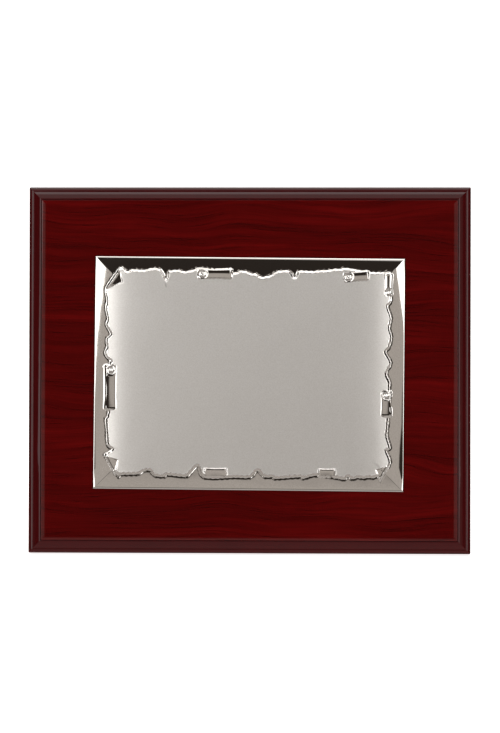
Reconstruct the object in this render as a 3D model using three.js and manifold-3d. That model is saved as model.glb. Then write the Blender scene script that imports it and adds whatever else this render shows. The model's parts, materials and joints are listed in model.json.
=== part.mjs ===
// Wooden award plaque: a lacquered board with a moulded edge, an embossed metal plate,
// a folding strut to stand it on a shelf and a toothed strip to hang it on a wall.
//
// Millimetres. +Z is up, +X is to the right of someone facing the plaque, and the face
// looks towards -Y. The plaque leans back on the lower rear edge of its board and on
// the foot of the open strut.
//
// Every flat piece is drawn in the board's own frame: X across the board, Y up the
// board from its lower edge, and Z out of its face from the back of the board.

import * as THREE from 'three';
import { mergeVertices } from 'three/addons/utils/BufferGeometryUtils.js';
import Module from 'manifold-3d';

const wasm = await Module();
wasm.setup();

// Stance, in degrees.
const leanBack = 12;
const strutOpening = 22;

// Space left wherever one piece touches another.
const gap = 0.3;

// Board and the moulding routed along its edge.
const boardWidth = 280;
const boardHeight = 232;
const boardThickness = 15;
const beadRadius = 3.3;
const ledgeWidth = 1.8;
const coveWidth = 2.4;
const coveRise = 2.6;
const lipWidth = 0.6;

// Grained panel let into the face, and the felt that lines the back.
const panelThickness = 0.8;
const panelEasing = 0.25;
const liningThickness = 1;
const liningMargin = 4;
const liningCornerRadius = 3;

// Embossed plate. It sits a little low on the board and turned by a fraction of a degree.
const plateWidth = 196;
const plateHeight = 147;
const plateDrop = 2.4;
const plateTurn = 0.45;
const plateSheet = 0.6;
const plateRimHeight = 1.2;
const plateBorderHeight = 2.3;
const plateBorderWidth = 8;
const fieldHeight = 3.2;
const curlRise = 0.5;
const flapRise = 0.4;

// Half the size of the field that the torn edge and its curls are drawn for. They stretch
// with the plate.
const drawnHalfWidth = 90;
const drawnHalfHeight = 65.5;

// Stiffening card and adhesive tape under the plate.
const cardThickness = 1;
const deepestTear = 7.5;
const tapeWidth = 15;

// Hinge of the strut, on the centre line of the back.
const pinDrop = 82;
const pinRadius = 1;
const pinClearance = 0.15;
const pinHeadRadius = 1.7;
const pinHeadLength = 0.8;
const leafThickness = 1;
const leafWidth = 30;
const fixedLeafLength = 25;
const movingLeafLength = 30;
const middleBarrelLength = 12;
const leafRelief = 0.6;
const stopTongueLength = 9;
const stopTongueWidth = 10;

// Strut leg, and how far it clears the lining when it is folded away.
const legThickness = 2.6;
const legTopMargin = 5;
const legFootWidth = 64;
const legTopRadius = 6;
const legTopDrop = 3.2;
const foldClearance = 0.6;

// Fasteners.
const screwShankRadius = 1.4;
const screwHeadRadius = 2.6;
const screwHeadHeight = 1.3;
const screwDepth = 9;
const screwEdge = 3;
const screwEndMargin = 5;
const firstScrewRise = 8;
const screwCrossWidth = 0.7;
const rivetShankRadius = 1.3;
const rivetHeadRadius = 2.6;
const rivetHeadHeight = 0.9;
const rivetTailRadius = 2.2;
const rivetTailHeight = 0.5;
const rivetEdge = 6;
const rivetEndMargin = 6;
const firstRivetDrop = 13;

// Toothed hanging strip and its two nails.
const hangerWidth = 48;
const hangerHeight = 9;
const hangerSheet = 0.9;
const hangerDrop = 22;
const hangerStandOff = 2.2;
const hangerTabLength = 8;
const hangerRampLength = 3;
const toothPitch = 2;
const toothDepth = 1.5;
const nailShankRadius = 0.8;
const nailHeadRadius = 2;
const nailHeadHeight = 0.9;
const nailDepth = 9;

// Rubber bumpers at the two lower corners of the back.
const bumperRadius = 6;
const bumperHeight = 6.5;
const bumperInset = 16;
const bumperEasing = 1.2;

// Sizes worked out from the ones above.
const panelTop = boardThickness;
const pinHeight = boardHeight - pinDrop;
const mouldingWidth = beadRadius + ledgeWidth + coveWidth;
const panelWidth = boardWidth - 2 * (mouldingWidth + lipWidth + gap);
const panelHeight = boardHeight - 2 * (mouldingWidth + lipWidth + gap);
const liningFace = gap + liningThickness;
const fittingFace = liningFace + gap;
const legStack = legThickness + gap + leafThickness;
const barrelRadius = (liningFace + foldClearance + legStack - fittingFace) / 2;
const pinDepth = fittingFace + barrelRadius;
const pinHoleRadius = pinRadius + pinClearance;
const movingLeafFace = barrelRadius;
const legOuterFace = movingLeafFace - leafThickness - gap;
const legInnerFace = legOuterFace - legThickness;
const outerBarrelLength = (leafWidth - middleBarrelLength) / 2 - gap;
const barrelClear = barrelRadius + leafRelief;
const legTopWidth = leafWidth + 2 * legTopMargin;
const fieldHalfWidth = plateWidth / 2 - plateBorderWidth;
const fieldHalfHeight = plateHeight / 2 - plateBorderWidth;
const stretchX = fieldHalfWidth / drawnHalfWidth;
const stretchY = fieldHalfHeight / drawnHalfHeight;
const tornWall = 2 * plateSheet;
const cardWidth = 2 * (fieldHalfWidth - deepestTear - tornWall - gap);
const cardHeight = 2 * (fieldHalfHeight - deepestTear - tornWall - gap);
const tapeThickness = fieldHeight - plateSheet - cardThickness - 3 * gap;
const lean = THREE.MathUtils.degToRad(leanBack);
const opening = THREE.MathUtils.degToRad(strutOpening);

// Torn edge of the parchment, one list a side. Each pair is a place along the side,
// measured from the middle of the plate, and the depth of the bite there. A negative
// depth stands out of the side.
const tearsBelow = [
  [-84, 1], [-74, 1.5], [-70, 2], [-66, 3.5], [-62, 4], [-59.5, 1], [-53.5, 0], [-51.5, 1.5],
  [-40.5, 0.5], [-37, 2.5], [-32, 7.5], [-27.5, 0], [-9, 0.5], [1, 0.5], [5.5, 5], [10, 1],
  [15, 1], [17.5, 0], [32.5, 1], [34.5, 0], [42.5, 2], [57, 0.5], [60.5, -0.5], [62.5, 1.5],
  [65, 0], [69, 1], [72, 0.5], [80.5, 1.5],
];
const tearsRight = [
  [-57, 1], [-52, 1], [-47.5, 3], [-46, 0.5], [-39, 2.5], [-35, 2.5], [-28.5, 2], [-10.5, 1.5],
  [-4.5, 1.5], [1, 3.5], [7.5, 0.5], [14.5, 4], [17, 2], [24, 0.5], [29.5, 2], [36, 0.5],
  [43.5, 3], [47, 1], [64, 1],
];
const tearsAbove = [
  [-83.5, 0.5], [-81, -0.5], [-77.5, 2], [-74.5, 0.5], [-67, 1], [-61, -0.5], [-56.5, 1],
  [-52.5, 6.5], [-51, 1.5], [-45, 0.5], [-41.5, 1.5], [-35, 0.5], [-30, -1], [-10.5, 2],
  [-6.5, 1], [1, 2.5], [4, 2.5], [7.5, 4.5], [13.5, 3.5], [16.5, 1.5], [25, 0.5], [28, 5],
  [30, 1.5], [40, 1], [49, 0], [57, -0.5], [61, -1.5], [77, 1], [85, 1],
];
const tearsLeft = [
  [-52, 0], [-50, 0.5], [-48.5, 4.5], [-46, 1.5], [-35, 0.5], [-29, 0], [-25, 1.5], [5, 2],
  [7, 3], [9, 0.5], [12.5, -1], [16.5, 0.5], [22, 0], [24.5, 2.5], [30, -0.5], [34, 0.5],
  [42, -0.5], [46.5, 0], [53.5, -1],
];

// Rolled-up curls of the parchment: middle, length, width and angle of each, in degrees.
const curls = [
  { x: -22, y: 62.8, length: 22, width: 7, angle: 0 },
  { x: 67, y: 61.6, length: 16, width: 7, angle: 22 },
  { x: 87.5, y: 57, length: 15, width: 6, angle: 90 },
  { x: 86.7, y: -18, length: 16, width: 7.5, angle: 90 },
  { x: 85, y: -61.5, length: 9, width: 7, angle: -35 },
  { x: 49.8, y: -62, length: 10.5, width: 6, angle: 0 },
  { x: -20.3, y: -62.5, length: 15, width: 6.5, angle: 0 },
  { x: -87.3, y: -9.3, length: 29, width: 8, angle: 90 },
];

// Corners folded over, as triangles.
const foldedCorners = [
  [[-90.5, 53.5], [-80.5, 57.5], [-83, 64.5]],
  [[-90, -52.5], [-84, -64], [-82.5, -55.5]],
];

// Finishes: colour, roughness and metalness.
const lacquer = { color: 0x2a0b0c, roughness: 0.12, metalness: 0 };
const grainedPanel = { color: 0x5a0f0c, roughness: 0.15, metalness: 0 };
const felt = { color: 0x151416, roughness: 0.95, metalness: 0 };
const silverPlate = { color: 0xd2d0cc, roughness: 0.28, metalness: 1 };
const greyCard = { color: 0x9a948a, roughness: 0.9, metalness: 0 };
const foamTape = { color: 0xe8e6e0, roughness: 0.8, metalness: 0 };
const nickelSteel = { color: 0xb9b8b4, roughness: 0.3, metalness: 1 };
const brassedSteel = { color: 0xb8954a, roughness: 0.32, metalness: 1 };
const clearRubber = { color: 0xc9cbc8, roughness: 0.35, metalness: 0 };

// Joining and cutting.

function solid(geometry) {
  const bare = geometry.index ? geometry.toNonIndexed() : geometry.clone();
  bare.deleteAttribute('normal');
  bare.deleteAttribute('uv');
  const merged = mergeVertices(bare, 1e-4);
  const vertProperties = new Float32Array(merged.attributes.position.array);
  const triVerts = new Uint32Array(merged.index.array);
  return new wasm.Manifold(new wasm.Mesh({ numProp: 3, vertProperties, triVerts }));
}

function surface(body) {
  const cut = body.getMesh();
  const geometry = new THREE.BufferGeometry();
  geometry.setAttribute('position', new THREE.BufferAttribute(new Float32Array(cut.vertProperties), 3));
  geometry.setIndex(new THREE.BufferAttribute(new Uint32Array(cut.triVerts), 1));
  return geometry;
}

function joinAll(bodies) {
  return bodies.reduce((whole, body) => whole.add(body));
}

function cutAll(body, cutters) {
  return cutters.reduce((rest, cutter) => rest.subtract(cutter), body);
}

function piece(name, shape, finish) {
  const geometry = shape.isBufferGeometry ? shape : surface(shape);
  geometry.computeVertexNormals();
  const mesh = new THREE.Mesh(geometry, new THREE.MeshStandardMaterial(finish));
  mesh.name = name;
  return mesh;
}

// Basic shapes, all placed in the board's frame.

function block(sizeX, sizeY, sizeZ, x, y, z) {
  return new THREE.BoxGeometry(sizeX, sizeY, sizeZ).translate(x, y, z);
}

function extruded(outline, depth, z) {
  const geometry = new THREE.ExtrudeGeometry(outline, { depth, bevelEnabled: false, curveSegments: 8 });
  return geometry.translate(0, 0, z);
}

function polygon(points) {
  return new THREE.Shape(points.map(([x, y]) => new THREE.Vector2(x, y)));
}

// A turned body on the Z axis. Its profile lists radius and height, from the low end up.
function turned(profile, sides) {
  const points = profile.map(([radius, height]) => new THREE.Vector2(radius, height));
  return new THREE.LatheGeometry(points, sides).rotateX(Math.PI / 2);
}

// A round bar along X.
function bar(radius, length, x) {
  return new THREE.CylinderGeometry(radius, radius, length, 24).rotateZ(Math.PI / 2).translate(x, 0, 0);
}

// A round hole along Z.
function drill(radius, length, x, y, z) {
  return solid(new THREE.CylinderGeometry(radius, radius, length, 16).rotateX(Math.PI / 2).translate(x, y, z));
}

function circleHole(x, y, radius) {
  return new THREE.Path().absarc(x, y, radius, 0, 2 * Math.PI, true);
}

function roundedRectangle(width, height, radius) {
  const halfWidth = width / 2;
  const halfHeight = height / 2;
  const outline = new THREE.Shape();
  outline.absarc(halfWidth - radius, halfHeight - radius, radius, 0, Math.PI / 2);
  outline.absarc(radius - halfWidth, halfHeight - radius, radius, Math.PI / 2, Math.PI);
  outline.absarc(radius - halfWidth, radius - halfHeight, radius, Math.PI, 1.5 * Math.PI);
  outline.absarc(halfWidth - radius, radius - halfHeight, radius, 1.5 * Math.PI, 2 * Math.PI);
  return outline;
}

// One pass of a router along each side of a sheet centred on Z. The outline of the waste
// has the distance in from the edge as x and the height as y.
function routerPasses(width, height, waste) {
  const overrun = 10;
  const sides = [
    { length: width, reach: height / 2, turn: 0 },
    { length: height, reach: width / 2, turn: Math.PI / 2 },
    { length: width, reach: height / 2, turn: Math.PI },
    { length: height, reach: width / 2, turn: 1.5 * Math.PI },
  ];
  return sides.map(({ length, reach, turn }) => {
    const run = length + 2 * overrun;
    const pass = new THREE.ExtrudeGeometry(waste, { depth: run, bevelEnabled: false, curveSegments: 10 });
    pass.translate(-reach, 0, -run / 2);
    pass.rotateX(Math.PI / 2);
    pass.rotateZ(turn + Math.PI / 2);
    return solid(pass);
  });
}

// Board.

function mouldingWaste() {
  const outside = -5;
  const above = boardThickness + 5;
  const ledgeHeight = boardThickness - coveRise;
  const wallHeight = ledgeHeight - beadRadius;
  const waste = new THREE.Shape();
  waste.moveTo(outside, wallHeight);
  waste.lineTo(0, wallHeight);
  waste.absarc(beadRadius, wallHeight, beadRadius, Math.PI, Math.PI / 2, true);
  waste.lineTo(beadRadius + ledgeWidth, ledgeHeight);
  waste.lineTo(mouldingWidth, boardThickness);
  waste.lineTo(mouldingWidth, above);
  waste.lineTo(outside, above);
  return waste;
}

function screwPlaces() {
  const places = [];
  const reach = leafWidth / 2 - screwEdge;
  for (const rise of [firstScrewRise, fixedLeafLength - screwEndMargin]) {
    for (const side of [-1, 1]) {
      places.push([side * reach, pinHeight + rise]);
    }
  }
  return places;
}

function nailPlaces() {
  const reach = hangerWidth / 2 - hangerTabLength / 2;
  return [-1, 1].map((side) => [side * reach, boardHeight - hangerDrop]);
}

function board() {
  const blank = solid(block(boardWidth, boardHeight, boardThickness, 0, 0, boardThickness / 2));
  const recessDepth = panelThickness + gap;
  const recessZ = boardThickness - recessDepth / 2;
  const recess = block(panelWidth + 2 * gap, panelHeight + 2 * gap, recessDepth, 0, 0, recessZ);
  const openTop = block(panelWidth + 2 * gap, panelHeight + 2 * gap, 1, 0, 0, boardThickness + 0.4);
  const moulded = cutAll(blank, routerPasses(boardWidth, boardHeight, mouldingWaste()));
  const recessed = cutAll(moulded, [solid(recess), solid(openTop)]);
  const raised = recessed.translate([0, boardHeight / 2, 0]);
  const screwHoles = screwPlaces().map(([x, y]) => {
    return drill(screwShankRadius + gap, 2 * (screwDepth + gap), x, y, 0);
  });
  const nailHoles = nailPlaces().map(([x, y]) => {
    return drill(nailShankRadius + gap, 2 * (nailDepth + gap), x, y, 0);
  });
  return piece('board', cutAll(raised, [...screwHoles, ...nailHoles]), lacquer);
}

function frontPanel() {
  const sheet = solid(block(panelWidth, panelHeight, panelThickness, 0, 0, panelTop - panelThickness / 2));
  const waste = polygon([
    [-2, panelTop - panelEasing],
    [0, panelTop - panelEasing],
    [panelEasing, panelTop],
    [panelEasing, panelTop + 2],
    [-2, panelTop + 2],
  ]);
  const eased = cutAll(sheet, routerPasses(panelWidth, panelHeight, waste));
  return piece('front_panel', eased.translate([0, boardHeight / 2, 0]), grainedPanel);
}

function backLining() {
  const width = boardWidth - 2 * liningMargin;
  const height = boardHeight - 2 * liningMargin;
  const outline = roundedRectangle(width, height, liningCornerRadius);
  for (const [x, y] of screwPlaces()) {
    outline.holes.push(circleHole(x, y - boardHeight / 2, screwShankRadius + gap));
  }
  for (const [x, y] of nailPlaces()) {
    outline.holes.push(circleHole(x, y - boardHeight / 2, nailShankRadius + gap));
  }
  const sheet = extruded(outline, liningThickness, -liningFace).translate(0, boardHeight / 2, 0);
  return piece('back_lining', sheet, felt);
}

// Embossed plate. Its group puts Z = 0 on the face of the panel and the origin in the
// middle of the plate.

// A dished pan with a rounded border: the outside of the pressing, or its hollow.
function pan(width, height, rim, top) {
  const blank = solid(block(width, height, top - gap, 0, 0, (top + gap) / 2));
  const border = new THREE.Shape();
  border.moveTo(-2, rim);
  border.lineTo(0, rim);
  border.quadraticCurveTo(plateBorderWidth / 3, top, plateBorderWidth, top);
  border.lineTo(plateBorderWidth, top + 2);
  border.lineTo(-2, top + 2);
  const waste = new THREE.Shape(border.getPoints(5));
  return cutAll(blank, routerPasses(width, height, waste));
}

function tornOutline(inset) {
  const points = [];
  const halfWidth = fieldHalfWidth - inset;
  const halfHeight = fieldHalfHeight - inset;
  const alongX = halfWidth / drawnHalfWidth;
  const alongY = halfHeight / drawnHalfHeight;
  for (const [x, bite] of tearsBelow) {
    points.push([x * alongX, bite - halfHeight]);
  }
  for (const [y, bite] of tearsRight) {
    points.push([halfWidth - bite, y * alongY]);
  }
  for (const [x, bite] of [...tearsAbove].reverse()) {
    points.push([x * alongX, halfHeight - bite]);
  }
  for (const [y, bite] of [...tearsLeft].reverse()) {
    points.push([bite - halfWidth, y * alongY]);
  }
  return polygon(points);
}

function curl({ x, y, length, width, angle }) {
  const roll = new THREE.CylinderGeometry(width / 2, width / 2, length, 14);
  roll.rotateZ(Math.PI / 2);
  roll.scale(1, 1, 2 * curlRise / width);
  roll.rotateZ(THREE.MathUtils.degToRad(angle));
  return solid(roll.translate(x * stretchX, y * stretchY, fieldHeight));
}

function foldedCorner(points) {
  const foot = plateSheet / 2;
  const placed = points.map(([x, y]) => [x * stretchX, y * stretchY]);
  return solid(extruded(polygon(placed), foot + flapRise, fieldHeight - foot));
}

function awardPlate() {
  const outside = pan(plateWidth, plateHeight, plateRimHeight, plateBorderHeight);
  const hollowWidth = plateWidth - 2 * plateSheet;
  const hollowHeight = plateHeight - 2 * plateSheet;
  const hollow = pan(hollowWidth, hollowHeight, plateRimHeight - plateSheet, plateBorderHeight - plateSheet);
  const mouth = solid(block(hollowWidth, hollowHeight, gap, 0, 0, gap));
  const fieldFoot = plateBorderHeight - plateSheet / 2;
  const field = solid(extruded(tornOutline(0), fieldHeight - fieldFoot, fieldFoot));
  const fieldHollow = solid(extruded(tornOutline(tornWall), fieldHeight - plateSheet - gap, gap));
  const relief = [...curls.map(curl), ...foldedCorners.map(foldedCorner)];
  const pressing = cutAll(joinAll([outside, field, ...relief]), [hollow, mouth, fieldHollow]);
  return piece('award_plate', pressing, silverPlate);
}

function plateCard() {
  const z = fieldHeight - plateSheet - gap - cardThickness / 2;
  return piece('plate_card', block(cardWidth, cardHeight, cardThickness, 0, 0, z), greyCard);
}

function plateTapes() {
  const z = gap + tapeThickness / 2;
  const sideLength = cardHeight - 2 * (tapeWidth + gap);
  const endReach = (cardHeight - tapeWidth) / 2;
  const sideReach = (cardWidth - tapeWidth) / 2;
  return [
    piece('plate_tape_top', block(cardWidth, tapeWidth, tapeThickness, 0, endReach, z), foamTape),
    piece('plate_tape_bottom', block(cardWidth, tapeWidth, tapeThickness, 0, -endReach, z), foamTape),
    piece('plate_tape_left', block(tapeWidth, sideLength, tapeThickness, -sideReach, 0, z), foamTape),
    piece('plate_tape_right', block(tapeWidth, sideLength, tapeThickness, sideReach, 0, z), foamTape),
  ];
}

function plateGroup() {
  const group = new THREE.Group();
  group.position.set(0, boardHeight / 2 - plateDrop, panelTop);
  group.rotation.z = -THREE.MathUtils.degToRad(plateTurn);
  group.add(awardPlate(), plateCard(), ...plateTapes());
  return group;
}

// Fasteners. The head of each is below its shank on Z, so it shows from the back.

function fastener(headRadius, headHeight, shankRadius, shankLength, tip) {
  return turned([
    [0, -headHeight],
    [headRadius * 0.6, -headHeight * 0.85],
    [headRadius, -headHeight * 0.25],
    [headRadius, 0],
    [shankRadius, 0],
    [shankRadius, shankLength - tip],
    [0, shankLength],
  ], 16);
}

function hingeScrews() {
  const shankLength = fittingFace + leafThickness + gap + screwDepth;
  const reach = 2 * screwHeadRadius * 0.6;
  const crossZ = -screwHeadHeight;
  const slot = block(reach, screwCrossWidth, screwHeadHeight, 0, 0, crossZ);
  const across = block(screwCrossWidth, reach, screwHeadHeight, 0, 0, crossZ);
  return screwPlaces().map(([x, y], index) => {
    const shank = fastener(screwHeadRadius, screwHeadHeight, screwShankRadius, shankLength, 2);
    const body = cutAll(solid(shank), [solid(slot), solid(across)]);
    const mesh = piece(`hinge_screw_${index + 1}`, body, nickelSteel);
    mesh.position.set(x, y, -(fittingFace + leafThickness + gap));
    return mesh;
  });
}

function hangerNails() {
  const shankLength = fittingFace + hangerSheet + gap + nailDepth;
  return nailPlaces().map(([x, y], index) => {
    const shank = fastener(nailHeadRadius, nailHeadHeight, nailShankRadius, shankLength, 1.5);
    const mesh = piece(index === 0 ? 'hanger_nail_left' : 'hanger_nail_right', shank, brassedSteel);
    mesh.position.set(x, y, -(fittingFace + hangerSheet + gap));
    return mesh;
  });
}

// Hanging strip: a flat strip with its middle set off the back and teeth along the
// lower edge of that middle.

function hangerStrip() {
  const half = hangerWidth / 2;
  const tab = half - hangerTabLength;
  const ramp = tab - hangerRampLength;
  const low = -fittingFace;
  const high = low - hangerStandOff;
  const section = polygon([
    [-half, low], [-half, low - hangerSheet], [-tab, low - hangerSheet], [-ramp, high - hangerSheet],
    [ramp, high - hangerSheet], [tab, low - hangerSheet], [half, low - hangerSheet], [half, low],
    [tab, low], [ramp, high], [-ramp, high], [-tab, low],
  ]);
  const bent = extruded(section, hangerHeight, -hangerHeight / 2).rotateX(Math.PI / 2);
  const teeth = Math.floor(2 * ramp / toothPitch);
  const bottom = -hangerHeight / 2;
  const edge = [[half, bottom - 1], [-half, bottom - 1], [-teeth * toothPitch / 2, bottom - 1]];
  for (let index = 0; index < teeth; index += 1) {
    const start = (index - teeth / 2) * toothPitch;
    edge.push([start, bottom], [start + toothPitch / 2, bottom + toothDepth]);
  }
  edge.push([teeth * toothPitch / 2, bottom], [teeth * toothPitch / 2, bottom - 1]);
  const comb = solid(extruded(polygon(edge.slice(2)), 20, -20));
  const holes = nailPlaces().map(([x]) => drill(nailShankRadius + gap, 20, x, 0, 0));
  const strip = cutAll(solid(bent), [comb, ...holes]);
  const mesh = piece('hanger_strip', strip, brassedSteel);
  mesh.position.y = boardHeight - hangerDrop;
  return mesh;
}

// Hinge. The pin is the X axis of the hinge's own frame, which is the board's frame
// moved to the pin.

function outerBarrels() {
  const x = (middleBarrelLength + outerBarrelLength) / 2 + gap;
  return [-x, x].map((place) => solid(bar(barrelRadius, outerBarrelLength, place)));
}

function pinHole() {
  return solid(bar(pinHoleRadius, leafWidth + 2, 0));
}

function hingeFixedLeaf() {
  const z = barrelRadius - leafThickness / 2;
  const leaf = solid(block(leafWidth, fixedLeafLength, leafThickness, 0, fixedLeafLength / 2, z));
  const notchWidth = middleBarrelLength + 2 * gap;
  const notch = solid(block(notchWidth, 2 * barrelClear, 3 * leafThickness, 0, 0, z));
  const holes = screwPlaces().map(([x, y]) => drill(screwShankRadius + gap, 10, x, y - pinHeight, z));
  const body = cutAll(joinAll([leaf, ...outerBarrels()]), [notch, pinHole(), ...holes]);
  const mesh = piece('hinge_fixed_leaf', body, nickelSteel);
  mesh.position.set(0, pinHeight, -pinDepth);
  return mesh;
}

function hingePin() {
  const half = leafWidth / 2 + gap;
  const head = half + pinHeadLength;
  const pin = turned([
    [0, -head],
    [pinHeadRadius * 0.7, -head],
    [pinHeadRadius, -half - pinHeadLength / 2],
    [pinHeadRadius, -half],
    [pinRadius, -half],
    [pinRadius, half],
    [pinHeadRadius, half],
    [pinHeadRadius, half + pinHeadLength / 2],
    [pinHeadRadius * 0.7, head],
    [0, head],
  ], 24).rotateY(Math.PI / 2);
  const mesh = piece('hinge_pin', pin, nickelSteel);
  mesh.position.set(0, pinHeight, -pinDepth);
  return mesh;
}

// Strut. Its frame has the pin on the X axis and the leg running down -Y, and the group
// turns about the pin to stand the strut open.

function rivetPlaces() {
  const reach = leafWidth / 2 - rivetEdge;
  return [
    [-reach, -firstRivetDrop],
    [reach, -firstRivetDrop],
    [0, rivetEndMargin - movingLeafLength],
  ];
}

function hingeMovingLeaf() {
  const z = leafThickness / 2 - movingLeafFace;
  const leafTop = -barrelClear;
  const leafLength = movingLeafLength + leafTop;
  const leaf = solid(block(leafWidth, leafLength, leafThickness, 0, leafTop - leafLength / 2, z));
  const neck = solid(block(middleBarrelLength, 2 * barrelClear, leafThickness, 0, -barrelClear, z));
  const barrel = solid(bar(barrelRadius, middleBarrelLength, 0));
  const tongueZ = barrelRadius - leafThickness - gap - leafThickness / 2;
  const tongue = block(stopTongueWidth, stopTongueLength, leafThickness, 0, stopTongueLength / 2, tongueZ);
  tongue.rotateX(-opening);
  const holes = rivetPlaces().map(([x, y]) => drill(rivetShankRadius + gap, 10, x, y, z));
  const body = cutAll(joinAll([leaf, neck, barrel, solid(tongue)]), [pinHole(), ...holes]);
  return piece('hinge_moving_leaf', body, nickelSteel);
}

// Everything below the shelf, in the strut's frame: what the foot of the leg is cut to.
function belowShelf() {
  const pinRise = pinHeight * Math.cos(lean) - pinDepth * Math.sin(lean);
  const depth = 60;
  const waste = block(400, depth, 200, 0, -pinRise - depth / 2, 0);
  return solid(waste.rotateX(lean - opening));
}

function strutLeg() {
  const reach = pinHeight + 20;
  const top = legTopWidth / 2;
  const foot = legFootWidth / 2;
  const outline = new THREE.Shape();
  outline.moveTo(-foot, -reach);
  outline.lineTo(foot, -reach);
  outline.lineTo(top, -legTopDrop - legTopRadius);
  outline.absarc(top - legTopRadius, -legTopDrop - legTopRadius, legTopRadius, 0, Math.PI / 2);
  outline.absarc(legTopRadius - top, -legTopDrop - legTopRadius, legTopRadius, Math.PI / 2, Math.PI);
  const blank = solid(extruded(outline, legThickness, -legOuterFace));
  const holes = rivetPlaces().map(([x, y]) => drill(rivetShankRadius + gap, 20, x, y, 0));
  const seatDepth = rivetTailHeight + 2 * gap;
  const seats = rivetPlaces().map(([x, y]) => {
    return drill(rivetTailRadius + gap, 2 * seatDepth, x, y, -legInnerFace);
  });
  return piece('strut_leg', cutAll(blank, [...holes, ...seats, belowShelf()]), felt);
}

function strutRivets() {
  const under = movingLeafFace + gap;
  const tailFoot = -legInnerFace - rivetTailHeight - gap;
  return rivetPlaces().map(([x, y], index) => {
    const rivet = turned([
      [0, -under - rivetHeadHeight],
      [rivetHeadRadius * 0.6, -under - rivetHeadHeight * 0.85],
      [rivetHeadRadius, -under - rivetHeadHeight * 0.2],
      [rivetHeadRadius, -under],
      [rivetShankRadius, -under],
      [rivetShankRadius, tailFoot],
      [rivetTailRadius, tailFoot],
      [rivetTailRadius, tailFoot + rivetTailHeight],
      [0, tailFoot + rivetTailHeight],
    ], 16);
    const mesh = piece(`strut_rivet_${index + 1}`, rivet, nickelSteel);
    mesh.position.set(x, y, 0);
    return mesh;
  });
}

function strutGroup() {
  const group = new THREE.Group();
  group.position.set(0, pinHeight, -pinDepth);
  group.rotation.x = opening;
  group.add(hingeMovingLeaf(), strutLeg(), ...strutRivets());
  return group;
}

// Bumpers.

function bumper(name, x) {
  const body = turned([
    [0, -bumperHeight],
    [bumperRadius - bumperEasing, -bumperHeight],
    [bumperRadius - bumperEasing / 4, bumperEasing / 2 - bumperHeight],
    [bumperRadius, bumperEasing - bumperHeight],
    [bumperRadius, 0],
    [0, 0],
  ], 24);
  const mesh = piece(name, body, clearRubber);
  mesh.position.set(x, bumperInset, -fittingFace);
  return mesh;
}

function bumpers() {
  const reach = boardWidth / 2 - bumperInset;
  return [bumper('bumper_left', -reach), bumper('bumper_right', reach)];
}

// Assembly. The board leans back about its lower rear edge, and the whole is then moved
// so that the middle of its outline on the shelf is the origin.

const plaque = new THREE.Group();
plaque.rotation.x = Math.PI / 2 - lean;
plaque.add(board(), frontPanel(), backLining(), plateGroup());
plaque.add(hangerStrip(), ...hangerNails(), ...bumpers());
plaque.add(hingeFixedLeaf(), hingePin(), ...hingeScrews(), strutGroup());

const assembly = new THREE.Group();
assembly.add(plaque);
assembly.updateMatrixWorld(true);
const footprint = new THREE.Box3().setFromObject(assembly, true);
plaque.position.y = -(footprint.min.y + footprint.max.y) / 2;

export default assembly;
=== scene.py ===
# %% [markdown]
# # A wooden award plaque
# The plaque is a lacquered board with a moulded edge, a grained panel let into its face and
# an embossed plate of silvered metal. Behind it are a felt lining, a folding strut, a
# toothed hanging strip and two rubber bumpers. This lesson builds the surfaces that are
# seen, around a frame that already holds the true sizes and the joint of the strut.

# %% Load the frame
import json
import math

import bpy
import numpy as np
from mathutils import Matrix, Vector


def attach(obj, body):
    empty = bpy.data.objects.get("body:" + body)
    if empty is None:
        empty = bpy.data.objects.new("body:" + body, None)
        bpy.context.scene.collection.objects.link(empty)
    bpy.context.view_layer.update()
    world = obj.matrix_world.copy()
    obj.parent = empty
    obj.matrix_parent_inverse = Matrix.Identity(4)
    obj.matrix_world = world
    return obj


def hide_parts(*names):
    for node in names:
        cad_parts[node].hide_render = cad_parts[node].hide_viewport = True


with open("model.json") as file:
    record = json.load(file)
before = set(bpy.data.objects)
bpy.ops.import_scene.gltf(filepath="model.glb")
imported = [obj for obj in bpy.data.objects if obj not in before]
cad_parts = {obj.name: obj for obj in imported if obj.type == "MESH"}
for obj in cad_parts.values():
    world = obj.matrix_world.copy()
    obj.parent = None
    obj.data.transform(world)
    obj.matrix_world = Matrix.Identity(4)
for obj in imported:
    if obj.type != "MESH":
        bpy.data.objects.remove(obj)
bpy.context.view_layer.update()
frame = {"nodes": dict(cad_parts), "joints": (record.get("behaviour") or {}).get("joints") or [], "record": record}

# %% [markdown]
# ## The directions of the board
# The plaque leans back, so nothing on it lies along the world's axes. It is easier to draw
# every piece in the board's own directions, in millimetres: X across the board, Y up the
# board from its lower edge and Z out of its face from the back of the board. One matrix
# then carries all the points of a piece to their place. The lean comes from the frame's
# mount on the engraving field, whose axis points straight out of the face.

# %% Frames to draw in
MM = 0.001
mounts = {mount["name"]: mount for mount in frame["record"]["mounts"]}
outward = np.array(mounts["engraving_field"]["axis"], float)
outward /= np.linalg.norm(outward)
across = np.array([1.0, 0.0, 0.0])
up_board = np.cross(outward, across)


def node_points(node):
    """The corners of a frame node's mesh, in metres."""
    mesh = frame["nodes"][node].data
    flat = np.zeros(3 * len(mesh.vertices), np.float32)
    mesh.vertices.foreach_get("co", flat)
    return flat.reshape(-1, 3).astype(float)


board_points = node_points("board")
board_origin = outward * (board_points @ outward).min() + up_board * (board_points @ up_board).min()
axes = np.eye(4)
axes[:3, :3] = np.column_stack([across, up_board, outward])
axes[:3, 3] = board_origin
BOARD = Matrix(axes.tolist()) @ Matrix.Scale(MM, 4)


def placed(points, where):
    """Millimetre points of a drawing frame, turned, scaled and moved into the world's metres."""
    matrix = np.array(where)
    return np.asarray(points, float) @ matrix[:3, :3].T + matrix[:3, 3]


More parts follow.
